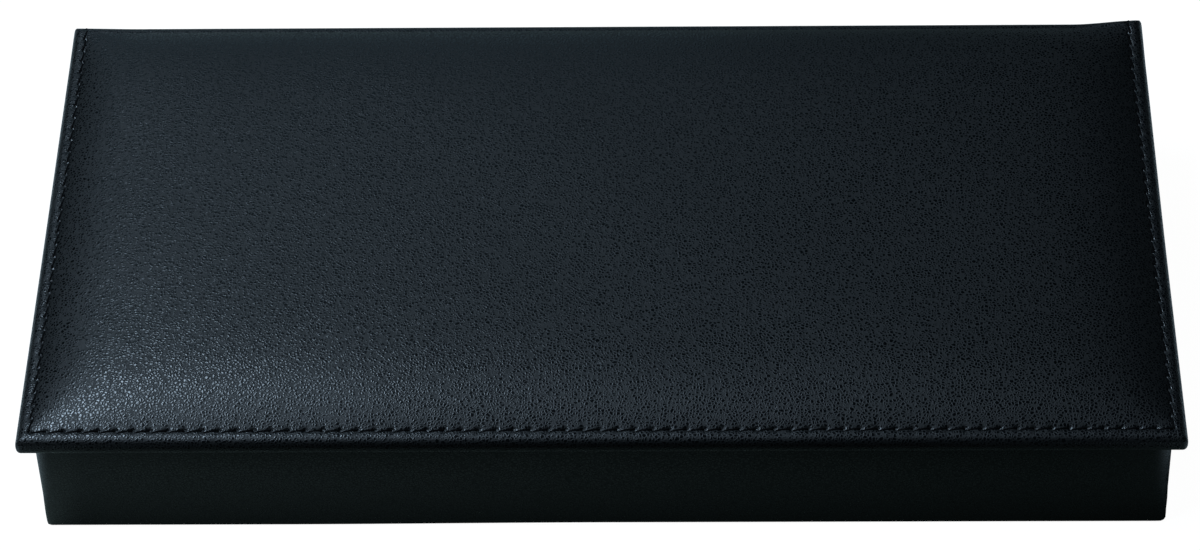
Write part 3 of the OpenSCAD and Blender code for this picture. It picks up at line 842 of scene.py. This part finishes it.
def hinge_dip(x, z):
    """The sewing's groove and pits on three sides of the flap."""
    dip = np.zeros_like(x)
    for along, across, pitch, low, high in (
            (x, z - flap_row_z, flap_pitch, -flap_row_x, flap_row_x),
            (z, x + flap_row_x, flap_pitch, flap_row_z, seam_top),
            (z, flap_row_x - x, flap_pitch, flap_row_z, seam_top)):
        phase = (along - low) / pitch
        to_hole = (phase - np.round(phase)) * pitch
        within = smoothstep((along - low) / (0.4 * mm) + 1) * smoothstep((high - along) / (0.4 * mm) + 1)
        groove = 0.25 * np.exp(-(across / (0.45 * mm)) ** 2)
        pit = 0.3 * np.exp(-(to_hole ** 2 + across ** 2) / (0.45 * mm) ** 2)
        dip = np.maximum(dip, within * (groove + pit) * mm)
    return dip

hx, hz = np.meshgrid(columns, heights)
tuck = 0.25 * mm * smoothstep((hz - fold_low + 0.3 * mm) / (0.5 * mm))
outer = np.stack([hx, hinge_y1 - tuck - hinge_dip(hx, hz), hz], -1)
inner = np.stack([hx, np.full_like(hx, hinge_y0), hz], -1)
outer[0, :, 1] -= 0.3 * mm
foot = np.stack([columns, np.full_like(columns, hinge_y0), np.full_like(columns, flap_low.z)], -1)
rows, cols = hx.shape
sheet_index = np.arange(rows * cols).reshape(rows, cols)
behind = sheet_index + rows * cols
quads = sheet_quads(sheet_index)
hinge_faces = quads.tolist() + (quads[:, ::-1] + rows * cols).tolist()
under = 2 * rows * cols + np.arange(cols)
for i in range(cols - 1):
    hinge_faces.append([sheet_index[0, i + 1], sheet_index[0, i], under[i], under[i + 1]])
    hinge_faces.append([under[i + 1], under[i], behind[0, i], behind[0, i + 1]])
    hinge_faces.append([sheet_index[-1, i], sheet_index[-1, i + 1], behind[-1, i + 1], behind[-1, i]])
for i in range(rows - 1):
    for column, order in ((0, 1), (-1, -1)):
        corner = [sheet_index[i, column], sheet_index[i + 1, column]]
        corner += [behind[i + 1, column], behind[i, column]]
        hinge_faces.append(corner[::order])
hinge_faces.append([sheet_index[0, 0], behind[0, 0], under[0]])
hinge_faces.append([sheet_index[0, -1], under[-1], behind[0, -1]])
hinge_points = np.concatenate([outer.reshape(-1, 3), inner.reshape(-1, 3), foot])
hinge_faces = [[int(i) for i in face] for face in hinge_faces]
hinge_leather = make_piece("hinge_leather", hinge_points, hinge_faces, tray_hide)
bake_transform(hinge_leather)
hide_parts("hinge_flap")
print("hinge has", len(hinge_faces), "faces")

# %% [markdown]
# ## The hinge's seam
# The flap is sewn to the rear wall along its foot and up both ends. The same sewing helper is used, with a
# path that lies on the flap's back face.

# %% Sew the hinge
def flap_front(s):
    """The row along the foot of the flap."""
    return np.array([-flap_row_x + s, hinge_y1, flap_row_z]), np.array([0, 0, 1]), np.array([0, 1, 0])

def flap_side(side):
    """A row up one end of the flap."""
    def path(s):
        place = np.array([side * flap_row_x, hinge_y1, flap_row_z + s])
        return place, np.array([-side, 0, 0]), np.array([0, 1, 0])
    return path

rise_count = int((seam_top - flap_row_z) / flap_pitch)
sewn_piece("hinge_thread", [sew(flap_front, flap_count, flap_pitch),
                            sew(flap_side(-1), rise_count, flap_pitch),
                            sew(flap_side(1), rise_count, flap_pitch)], "base", "hinge_stitching")

# %% [markdown]
# ## Suede-covered boards
# The linings and the floor are thin boards wrapped in suede, so no edge is sharp. Each is a box with its
# edges rounded by a bevel. The dividers keep their own CAD shape, which already has a round top.

# %% Wrap the lining boards
def wrapped_board(name, replaced, rounding):
    """A suede-wrapped board in the space of a CAD node, with its edges rounded."""
    low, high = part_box(replaced)
    work = bmesh.new()
    bmesh.ops.create_cube(work, size=1.0)
    size = high - low
    bmesh.ops.scale(work, vec=size, verts=work.verts)
    bmesh.ops.translate(work, vec=(low + high) / 2, verts=work.verts)
    bmesh.ops.bevel(work, geom=work.edges[:], offset=rounding, segments=4, profile=0.5, affect="EDGES")
    mesh = bpy.data.meshes.new(name)
    work.to_mesh(mesh)
    work.free()
    mesh.shade_smooth()
    mesh.materials.append(suede)
    piece = bpy.data.objects.new(name, mesh)
    bpy.context.scene.collection.objects.link(piece)
    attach(piece, "base")
    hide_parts(replaced)
    return piece

for wall in ("front", "rear", "left", "right"):
    wrapped_board(f"{wall}_suede", f"{wall}_lining", 0.7 * mm)
wrapped_board("floor_suede", "floor_lining", 0.5 * mm)
wrapped_board("ring_bed_suede", "ring_bed", 0.4 * mm)
print("lining boards wrapped")

# %% [markdown]
# ## Ring rolls
# A ring roll is a strip of foam wrapped in suede. Rings are pushed down between two rolls, which press on
# each other. One roll is blown up by a short cloth simulation from a shape that is a little too small, so
# its skin is taut and its ends bulge softly. The other rolls are copies, every second one turned end for
# end.

# %% Inflate one roll
roll_low, roll_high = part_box("ring_roll_1")
roll_size = roll_high - roll_low

def loaf(length, width, height, slices=30, around=20):
    """Points and faces of a long loaf with a round top and a flat foot, lying along X from the origin."""
    r = width / 2
    angles = np.linspace(0, np.pi, around)
    crown = np.maximum(height - r, 0) + min(r, height) * np.sin(angles)
    section = np.column_stack([r + r * np.cos(angles), crown])
    section = np.vstack([[width, 0], section, [0, 0]])
    if len(section) % 2:
        section = np.vstack([section, [r, 0]])
    n = len(section)
    points = np.array([[x, y, z] for x in np.linspace(0, length, slices) for y, z in section])
    return points, sleeve(slices, n)

shy = 0.9 * mm
roll_points, roll_faces = loaf(roll_size.x - 2 * shy, roll_size.y - 2 * shy, roll_size.z - shy)
roll_points += np.array([roll_low.x + shy, roll_low.y + shy, roll_low.z])
roll = make_piece("ring_roll_suede_1", roll_points, roll_faces, suede)

remesh = roll.modifiers.new("even_cells", "REMESH")
remesh.mode = "VOXEL"
remesh.voxel_size = 2.0 * mm
bpy.context.view_layer.objects.active = roll
roll.select_set(True)
bpy.ops.object.modifier_apply(modifier=remesh.name)
before = np.array([v.co for v in roll.data.vertices])
cloth = roll.modifiers.new("swell", "CLOTH")
cloth.settings.use_pressure = True
cloth.settings.uniform_pressure_force = 3.0
cloth.settings.effector_weights.gravity = 0
cloth.settings.tension_stiffness = 25
for moment in range(1, 16):
    bpy.context.scene.frame_set(moment)
swollen = roll.evaluated_get(bpy.context.evaluated_depsgraph_get())
after = np.array([v.co for v in swollen.data.vertices])
roll.modifiers.remove(cloth)
bpy.context.scene.frame_set(1)
moved = after - before
length = np.maximum(np.linalg.norm(moved, axis=1), 1e-9)
after = before + moved * np.minimum(1, 1.4 * mm / length)[:, None]
after = np.clip(after, np.array(roll_low) + 0.02 * mm, np.array(roll_high) - 0.02 * mm)
roll.data.vertices.foreach_set("co", after.astype(np.float32).ravel())
rounder = roll.modifiers.new("rounder", "SUBSURF")
rounder.levels = rounder.render_levels = 1
bpy.ops.object.modifier_apply(modifier=rounder.name)
roll.select_set(False)
print("the roll swelled by up to", round(np.linalg.norm(moved, axis=1).max() / mm, 2), "mm")
roll.data.shade_smooth()

# %% [markdown]
# ## The other rolls
# All six rolls are cut from one strip, so copies are right. Turning every second one end for end keeps them
# from looking stamped. Each copy is made as a new object, so that it carries only its own labels.

# %% Copy the roll along the bay
middle = (roll_low + roll_high) / 2
roll_nodes = sorted(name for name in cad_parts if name.startswith("ring_roll_"))
for number, name in enumerate(roll_nodes, 1):
    piece = roll
    if number > 1:
        low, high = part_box(name)
        piece = bpy.data.objects.new(f"ring_roll_suede_{number}", roll.data.copy())
        turned = Matrix.Rotation(math.pi * (number % 2 == 0), 4, "Z")
        piece.data.transform(Matrix.Translation((low + high) / 2) @ turned @ Matrix.Translation(-middle))
        bpy.context.scene.collection.objects.link(piece)
    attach(piece, "base")
    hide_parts(name)
print(len(roll_nodes), "rolls in the bay")

# %% [markdown]
# ## The frame round the mirror
# Under the lid a suede-covered frame holds the glass. It is the same ring idea as the leather: from the
# lid's underside down its outer edge, across its face, and up its inner edge to the mirror.

# %% Build the mirror's frame
frame_low, frame_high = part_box("lining_frame")
glass_low, glass_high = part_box("mirror")
lap = 2 * mm
soft = 0.8 * mm

def frame_ring(share, grow, z):
    """A ring between the frame's outer edge, share 0, and its window, share 1."""
    x = frame_high.x + (glass_high.x - lap - frame_high.x) * share + grow
    y0 = frame_low.y + (glass_low.y + lap - frame_low.y) * share - grow
    y1 = frame_high.y + (glass_high.y - lap - frame_high.y) * share + grow
    flat = ring(-x, x, y0, y1, 3 * mm - share * mm, 160, 80)
    return np.column_stack([flat, np.full(len(flat), z)])

frame_rings = [frame_ring(0, 0, frame_high.z)]
frame_rings += [frame_ring(0, -soft * (1 - math.cos(a)), frame_low.z + soft * (1 - math.sin(a)))
                for a in np.radians(np.linspace(0, 90, 6))]
frame_rings += [frame_ring(t, 0, frame_low.z) for t in (0.2, 0.5, 0.8)]
frame_rings += [frame_ring(1, soft * (1 - math.sin(a)), frame_low.z + soft * (1 - math.cos(a)))
                for a in np.radians(np.linspace(0, 90, 6))]
frame_rings.append(frame_ring(1, 0, glass_low.z))
mirror_frame = make_piece("mirror_frame", np.concatenate(frame_rings), join_rings(frame_rings), suede)
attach(mirror_frame, "lid")
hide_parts("lining_frame")
print("mirror frame has", len(mirror_frame.data.polygons), "faces")

# %% [markdown]
# ## Finishes for the CAD nodes that stay
# Nodes whose shape is already right only need their material.

# %% Give the CAD nodes their finishes
finishes = {
    "bottom_cover": felt, "closing_magnets": nickel, "strike_plates": steel, "mirror": mirror_look,
    "bottom_filler": card, "lid_filler": card,
    "bottom_board": board, "front_wall": board, "rear_wall": board, "left_wall": board,
    "right_wall": board, "lid_board": board,
    "bracelet_divider": suede, "compartment_divider": suede, "column_divider": suede, "row_divider": suede}
for name, look in finishes.items():
    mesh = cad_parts[name].data
    mesh.materials.clear()
    mesh.materials.append(look)
print(len(finishes), "CAD nodes finished")
